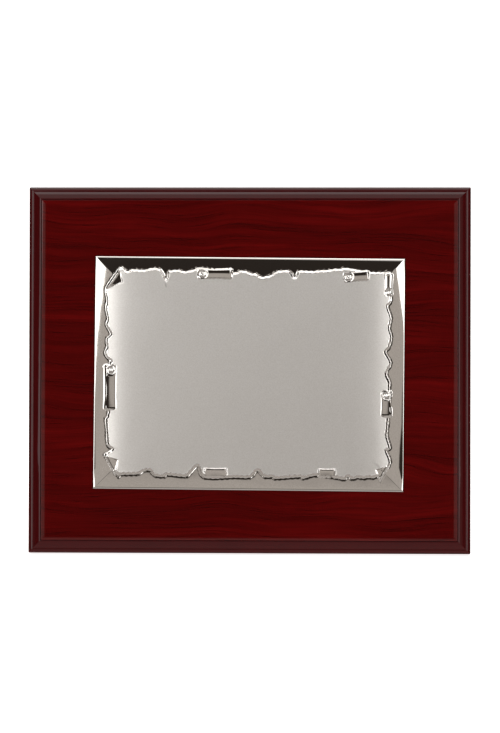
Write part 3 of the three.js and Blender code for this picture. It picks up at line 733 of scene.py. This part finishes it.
top_x, top_y = plate_frame(top_insets, 1.0)
top_z, top_blast = relief(top_x.ravel(), top_y.ravel())
top = np.stack([top_x, top_y, top_z.reshape(top_x.shape)], -1)
wall = np.repeat(top[:1], 3, axis=0)
wall[..., 2] = np.linspace(RIM_FOOT, top[0, 0, 2], 4)[:-1, None]
under = np.array([[20.0, 2.5], [16.4, 2.5], [16.2, 1.2], [3.0, 0.95], [0.8, 0.7], [0.6, RIM_FOOT]])
under_x, under_y = plate_frame(under[:, 0], 0.0)
underside = np.stack([under_x, under_y, np.broadcast_to(under[:, 1:], under_x.shape)], -1)
plate_rings = np.concatenate([underside, wall, top])
blast_values = np.concatenate([np.zeros((len(under) + 3) * top_x.shape[1]), top_blast])
make_piece(
    "embossed_plate", [in_world(plate_rings, PLATE)], silvered_metal, "plaque",
    ["award_plate"], {"blast": blast_values}, sharp=60.0,
)
print("plate relief, mm:", round(float(top_z.min()), 2), "to", round(float(top_z.max()), 2))

# %% [markdown]
# ## Felt and flocked board
# The back is lined with black pressed felt and the strut is fibreboard with a black
# flocked skin. Both are made of tiny fibres, so light scatters back at a grazing
# angle: a little sheen, a very rough surface and a fine tangled bump. Wool fibres are much
# thinner than the tangle drawn here, which is as coarse as it has to be to show.

# %% Felt and flock
def fibre_finish(name, dark, light, fibre, depth):
    """A fibrous surface, with the width of its tangle and its depth in millimetres."""
    material, tree, shader, place = finish_named(name)
    tangle = add(
        tree, "TexNoise", Vector=place, Scale=per_mm(fibre),
        Detail=4.0, Roughness=0.75, Distortion=1.2,
    )
    patches = add(tree, "TexNoise", Vector=place, Scale=per_mm(35), Detail=2.0)
    mixed = add(tree, "Math", operation="MULTIPLY", _0=tangle, _1=patches)
    part = add(tree, "MapRange", Value=mixed, _1=0.12, _2=0.4)
    tint = add(tree, "Mix", data_type="RGBA", _0=part, _6=linear(dark), _7=linear(light))
    bump = add(tree, "Bump", Strength=0.6, Distance=depth * MM, Height=tangle)
    fill(tree, shader, Base_Color=tint, Normal=bump, Roughness=0.95)
    fill(tree, shader, Sheen_Weight=0.25, Sheen_Roughness=0.5)
    return material


pressed_felt = fibre_finish("pressed_wool_felt", 0x121113, 0x2A282B, 0.8, 0.25)
flocked_board = fibre_finish("flocked_fibreboard", 0x161517, 0x302E31, 0.5, 0.12)

# %% [markdown]
# ## Lining
# A sheet of felt with rounded corners, cut a little smaller than the board and glued on.

# %% Lining
lining_low, lining_high = node_box("back_lining", BOARD)
lining_profile = eased(
    [[6.0, lining_high[2]], [0.0, lining_high[2]], [0.0, lining_low[2]], [6.0, lining_low[2]]],
    0.35,
)
lining_rings = rectangle_rings(
    lining_profile, lining_high[0] - lining_low[0], lining_high[1] - lining_low[1], 3.0, 10,
    middle=(0.0, (lining_low[1] + lining_high[1]) / 2), least=1.0,
)
make_piece(
    "felt_lining", [in_world(lining_rings, BOARD)], pressed_felt,
    "plaque", ["back_lining"],
)

# %% [markdown]
# ## Strut leg
# The leg is a wedge-shaped strip with rounded shoulders. Its foot is cut on a slant so
# that it stands flat on the shelf when the strut is open. The outline is inset along the
# mitre of its corners, and the foot's points slide along the leg until their height above
# the shelf is nothing.

# %% Leg
def mitred(outline, inset):
    """A closed outline moved inwards by each inset.

    A corner moves by (n + m) / (1 + n.m) times the inset, with n and m the outward
    directions of its two sides.
    """
    side = np.roll(outline, -1, axis=0) - outline
    normal = np.column_stack([side[:, 1], -side[:, 0]]) / np.linalg.norm(side, axis=1)[:, None]
    before = np.roll(normal, 1, axis=0)
    mitre = (normal + before) / (1 + (normal * before).sum(1))[:, None]
    return outline[None] - inset[:, None, None] * mitre[None]


leg_low, leg_high = node_box("strut_leg", STRUT)
SHOULDER_RADIUS, TOP_HALF_WIDTH = 6.0, 20.0
arc = np.linspace(0, math.pi / 2, 9)
shoulder_right = np.column_stack([
    TOP_HALF_WIDTH + SHOULDER_RADIUS * (np.cos(arc) - 1),
    leg_high[1] + SHOULDER_RADIUS * (np.sin(arc) - 1),
])
shoulder_left = shoulder_right[::-1] * [-1, 1]
foot_points = np.column_stack([np.linspace(-1, 1, 9) * leg_high[0], np.full(9, leg_low[1])])
leg_outline = np.concatenate([foot_points, shoulder_right, shoulder_left])
leg_profile = eased(
    [[8.0, leg_high[2]], [0.0, leg_high[2]], [0.0, leg_low[2]], [8.0, leg_low[2]]],
    0.4,
)
leg_rings = np.concatenate([
    mitred(leg_outline, leg_profile[:, 0]),
    np.broadcast_to(leg_profile[:, 1][:, None, None], (len(leg_profile), len(leg_outline), 1)),
], -1)
strut_matrix = np.array(STRUT)
foot = np.arange(len(foot_points))
shelf = -(strut_matrix[2, 2] * leg_rings[:, foot, 2] + strut_matrix[2, 3]) / strut_matrix[2, 1]
leg_rings[:, foot, 1] = shelf + leg_profile[:, :1]
make_piece(
    "flocked_leg", [in_world(leg_rings, STRUT)], flocked_board,
    "strut", ["strut_leg"],
)

# %% [markdown]
# ## Small metal fittings
# Screws, rivets, the hinge and its pin are nickelled steel, and the hanging strip and its
# nails are brassed. Both are metals with a thin bright plating over stamped sheet, so the
# roughness wanders a little and faint rolling marks run through them. The marks are drawn
# several times wider than real ones, which would be too fine to see.

# %% Metal finishes
def plated_finish(name, dull, bright, low, high):
    """A plated sheet metal between two colours and two values of roughness."""
    material, tree, shader, place = finish_named(name)
    drawn_out = add(tree, "Mapping", Vector=place, Scale=(0.08, 1.0, 1.0))
    rolled = add(tree, "TexNoise", Vector=drawn_out, Scale=per_mm(0.35), Detail=3.0)
    patches = add(tree, "TexNoise", Vector=place, Scale=per_mm(4), Detail=3.0)
    tint = add(tree, "Mix", data_type="RGBA", _0=patches, _6=linear(dull), _7=linear(bright))
    rough = add(tree, "MapRange", Value=patches, _1=0.3, _2=0.7, _3=low, _4=high)
    bump = add(tree, "Bump", Strength=0.12, Distance=0.05 * MM, Height=rolled)
    fill(tree, shader, Base_Color=tint, Roughness=rough, Normal=bump, Metallic=1.0)
    return material


nickelled_steel = plated_finish("nickelled_steel", 0xA9A6A0, 0xD2D0CB, 0.18, 0.34)
brassed_steel = plated_finish("brassed_steel", 0xA07C34, 0xD0AA5C, 0.20, 0.36)

# %% [markdown]
# ## Heads of screws, rivets and nails
# Each head is a low dome turned about its axis. A screw's cross is cut in the same grid: a
# point that lies in either bar of the cross is let down by the depth of the cut.

# %% Heads
def head_rings(node, where, dome, cross=0.0, sides=48):
    """A turned fastener in a node's box: a shank, a flange and a dome, less a cross.

    The dome's height goes as 1 - (r / R)^2.4. The cross is given by its bars' half width.
    """
    low, high = node_box(node, where)
    middle, radius = (low + high)[:2] / 2, (high - low)[0] / 2
    crest, seat = low[2], low[2] + dome
    r = radius * np.linspace(1, 0.04, 22)
    domed = np.column_stack([r, seat - dome * (0.25 + 0.75 * (1 - (r / radius) ** 2.4))])
    profile = np.concatenate([[[radius * 0.5, high[2]], [radius * 0.5, seat], [radius, seat]], domed])
    rings = turned_rings(profile, sides)
    if cross:
        x, y = np.abs(rings[..., 0]), np.abs(rings[..., 1])
        reach = smooth((0.62 * radius - np.maximum(x, y)) / 0.15)
        bar = smooth((cross - np.minimum(x, y)) / 0.12 + 0.5)
        top = np.arange(len(profile))[:, None] >= 3
        rings[..., 2] += np.where(top, 0.7 * dome * reach * bar, 0)
    return rings + [middle[0], middle[1], 0]


def fit_head(name, node, where, dome, metal, body, cross=0.0):
    """One head in place of a frame node."""
    shells = [in_world(head_rings(node, where, dome, cross), where)]
    make_piece(name, shells, metal, body, [node])


for index in range(1, 5):
    screw, node = f"cross_head_screw_{index}", f"hinge_screw_{index}"
    fit_head(screw, node, BOARD, 1.3, nickelled_steel, "plaque", cross=0.35)
for index in range(1, 4):
    rivet, node = f"domed_rivet_{index}", f"strut_rivet_{index}"
    fit_head(rivet, node, STRUT, 0.9, nickelled_steel, "strut")
for side in ("left", "right"):
    pin, node = f"brass_pin_{side}", f"hanger_nail_{side}"
    fit_head(pin, node, BOARD, 0.9, brassed_steel, "plaque")

# %% [markdown]
# ## Bumpers
# The bumpers are cast from clear soft rubber. Light goes into them and comes out
# softened, so they take some of the felt's darkness through their sides.

# %% Bumpers
clear_rubber, tree, shader, place = finish_named("clear_cast_rubber")
haze = add(tree, "TexNoise", Vector=place, Scale=per_mm(2.5), Detail=2.0)
tint = add(tree, "Mix", data_type="RGBA", _0=haze, _6=linear(0xC4C8C5), _7=linear(0xE2E4E1))
rough = add(tree, "MapRange", Value=haze, _1=0.3, _2=0.7, _3=0.22, _4=0.36)
fill(tree, shader, Base_Color=tint, Roughness=rough, IOR=1.43, Transmission_Weight=0.75)
for side in ("left", "right"):
    low, high = node_box(f"bumper_{side}", BOARD)
    radius = (high - low)[0] / 2
    profile = eased(
        [[1.0, high[2]], [radius, high[2]], [radius * 0.94, low[2]], [1.0, low[2] + 0.15]],
        [0.2, 1.6], 6,
    )
    rings = turned_rings(profile, 64, (low + high)[:2] / 2)
    make_piece(
        f"rubber_bumper_{side}", [in_world(rings, BOARD)], clear_rubber,
        "plaque", [f"bumper_{side}"],
    )

# %% [markdown]
# ## Pieces kept from the frame
# The card and the tape are out of sight under the plate, and the hinge leaves, the pin
# and the toothed strip already have their true shape. They only take a better finish.

# %% Finishes on kept pieces
def paper_finish(name, dark, light, grain, roughness):
    """Card or foam: a fine mottled surface with a grain of this many millimetres."""
    material, tree, shader, place = finish_named(name)
    pulp = add(tree, "TexNoise", Vector=place, Scale=per_mm(grain), Detail=3.0)
    tint = add(tree, "Mix", data_type="RGBA", _0=pulp, _6=linear(dark), _7=linear(light))
    bump = add(tree, "Bump", Strength=0.3, Distance=0.05 * MM, Height=pulp)
    fill(tree, shader, Base_Color=tint, Normal=bump, Roughness=roughness)
    return material


grey_card = paper_finish("grey_card", 0x8A857C, 0xA7A196, 0.6, 0.9)
foam_tape = paper_finish("foam_tape", 0xDAD8D1, 0xEFEDE8, 0.4, 0.75)
kept = {
    "plate_card": grey_card,
    "plate_tape_top": foam_tape,
    "plate_tape_bottom": foam_tape,
    "plate_tape_left": foam_tape,
    "plate_tape_right": foam_tape,
    "hanger_strip": brassed_steel,
    "hinge_fixed_leaf": nickelled_steel,
    "hinge_moving_leaf": nickelled_steel,
    "hinge_pin": nickelled_steel,
}
for name, material in kept.items():
    for slot in frame["nodes"][name].material_slots:
        slot.material = material
print("kept from the frame:", ", ".join(kept))

# %% [markdown]
# ## Floor
# A pale floor that glows a little stays an even pale tone out to the horizon. Reflections
# don't see it, so that what is low in the mirrors comes from the room alone.

# %% Floor
FLOOR_REACH = 14.0
studio_floor, tree, shader, place = finish_named("pale_studio_floor")
mottle = add(tree, "TexNoise", Vector=place, Scale=per_mm(80), Detail=2.0)
tint = add(tree, "Mix", data_type="RGBA", _0=mottle, _6=linear(0xF2F1EF), _7=linear(0xF5F4F2))
fill(tree, shader, Base_Color=tint, Roughness=0.8)
fill(tree, shader, Emission_Color=linear(0xFFFFFF), Emission_Strength=0.9)
floor_mesh = bpy.data.meshes.new("studio_floor")
floor_corners = [
    (x * FLOOR_REACH, y * FLOOR_REACH, 0) for x, y in ((-1, -1), (1, -1), (1, 1), (-1, 1))
]
floor_mesh.from_pydata(floor_corners, [], [(0, 1, 2, 3)])
floor_mesh.materials.append(studio_floor)
floor = bpy.data.objects.new("studio_floor", floor_mesh)
bpy.context.scene.collection.objects.link(floor)
floor.visible_glossy = False

# %% [markdown]
# ## The room in the mirrors
# Mirrors and gloss lacquer show only what is around them, so the room matters as much as
# the finish. It is drawn by direction alone. From low to high there are a grey ground, a
# darker table, a grey wall, a dark upper part and a pale ceiling. The wall has a dark gap
# in its middle and goes dark again far round to both sides. The dark keeps the lacquer
# deep and the plate's upper border black.

# %% Room
DARK = (0.024, 0.019, 0.016, 1)
WALL = (0.40, 0.365, 0.335, 1)
CEILING = (1.0, 0.95, 0.92, 1)
TABLE = (0.16, 0.145, 0.13, 1)
GROUND = (0.45, 0.42, 0.40, 1)
world = bpy.data.worlds.new("studio_room")
bpy.context.scene.world = world
world.use_nodes = True
tree = world.node_tree
direction = add(tree, "SeparateXYZ", Vector=add(tree, "TexCoord").outputs["Generated"])
across_room, height = direction.outputs["X"], direction.outputs["Z"]
past_gap = add(tree, "Math", operation="ADD", _0=across_room, _1=0.035)
from_gap = add(tree, "Math", operation="ABSOLUTE", _0=past_gap)
past_centre = add(tree, "Math", operation="SUBTRACT", _0=across_room, _1=0.03)
from_centre = add(tree, "Math", operation="ABSOLUTE", _0=past_centre)
beside_gap = add(tree, "MapRange", Value=from_gap, _1=0.09, _2=0.12)
below_gap = add(tree, "MapRange", Value=height, _1=0.11, _2=0.06)
clear_of_gap = add(tree, "Math", operation="MAXIMUM", _0=beside_gap, _1=below_gap)
below_top = add(tree, "MapRange", Value=height, _1=0.36, _2=0.30)
near_front = add(tree, "MapRange", Value=from_centre, _1=0.78, _2=0.70, _3=0.1, _4=1.0)
wall = add(tree, "Math", operation="MULTIPLY", _0=below_top, _1=clear_of_gap)
wall_part = add(tree, "Math", operation="MULTIPLY", _0=wall, _1=near_front)
room = add(tree, "Mix", data_type="RGBA", _0=wall_part, _6=DARK, _7=WALL)
for begins, fully, colour in ((0.66, 0.82, CEILING), (0.0, -0.05, TABLE), (-0.16, -0.26, GROUND)):
    part = add(tree, "MapRange", Value=height, _1=begins, _2=fully)
    room = add(tree, "Mix", data_type="RGBA", _0=part, _6=room, _7=colour)
background = next(n for n in tree.nodes if n.type == "BACKGROUND")
fill(tree, background, Color=room, Strength=1.0)

# %% [markdown]
# ## Softboxes
# A softbox is an area light. Its power is worked out from how bright its face should look,
# so that a change of size doesn't change the reflection's brightness. Two tall ones stand
# to the left and right in front of the plaque, a little above it, each rolled 11 degrees in
# its own plane, and a broad one hangs over it.

# %% Softboxes
middle_of_board = Vector(placed([*board_middle, board_thickness], BOARD))


def direction_to(compass, rise):
    """The way to a compass angle off the front and a rise above the floor, in radians."""
    level = math.cos(rise)
    return Vector((math.sin(compass) * level, -math.cos(compass) * level, math.sin(rise)))


def softbox(name, compass, rise, distance, width, height, brightness, roll=0.0):
    """A rectangle of light that looks at the middle of the board, angles in degrees.

    Power = brightness x pi x area.
    """
    heading = direction_to(math.radians(compass), math.radians(rise))
    light = bpy.data.lights.new(name, "AREA")
    light.shape = "RECTANGLE"
    light.size, light.size_y = width, height
    light.energy = brightness * math.pi * width * height
    thing = bpy.data.objects.new(name, light)
    rolled = Matrix.Rotation(math.radians(roll), 3, "Z")
    facing = heading.to_track_quat("Z", "Y").to_matrix() @ rolled
    thing.rotation_euler = facing.to_euler()
    thing.location = middle_of_board + heading * distance
    thing.visible_camera = False
    bpy.context.scene.collection.objects.link(thing)
    print(f"{name}: {width} x {height} m, {distance} m away, {light.energy:.1f} W")


softbox("softbox_left", -34, 22, 2.5, 1.53, 1.90, 1.75, roll=-11)
softbox("softbox_right", 31.5, 22, 2.5, 1.29, 1.90, 1.75, roll=11)
softbox("softbox_over", 180, 72, 1.4, 2.4, 1.3, 1.3)

# %% [markdown]
# ## Camera
# The camera is two metres away, 11 degrees above the board's middle and 2 degrees to the
# right. The board leans back by 12, so it is seen almost square-on. The lens follows from
# the height of the view at that distance: focal length = sensor x distance / height.

# %% Camera
CAMERA_DISTANCE, VIEW_HEIGHT = 2.0, 0.4631
AZIMUTH, ELEVATION, TILT = (math.radians(angle) for angle in (2.0, 11.04, -0.277))
SHIFT_ACROSS, SHIFT_UP = 0.0006, 0.00226
SENSOR = 36.0
camera_data = bpy.data.cameras.new("camera")
camera = bpy.data.objects.new("camera", camera_data)
bpy.context.scene.collection.objects.link(camera)
away = direction_to(AZIMUTH, ELEVATION)
aspect = away.to_track_quat("Z", "Y").to_matrix() @ Matrix.Rotation(TILT, 3, "Z")
camera.rotation_euler = aspect.to_euler()
camera.location = middle_of_board + aspect @ Vector((SHIFT_ACROSS, SHIFT_UP, CAMERA_DISTANCE))
camera_data.sensor_width = SENSOR
camera_data.lens = SENSOR * CAMERA_DISTANCE / VIEW_HEIGHT
camera_data.clip_end = 100.0
bpy.context.scene.camera = camera
bpy.context.scene.view_settings.view_transform = "Standard"
bpy.context.scene.view_settings.look = "None"
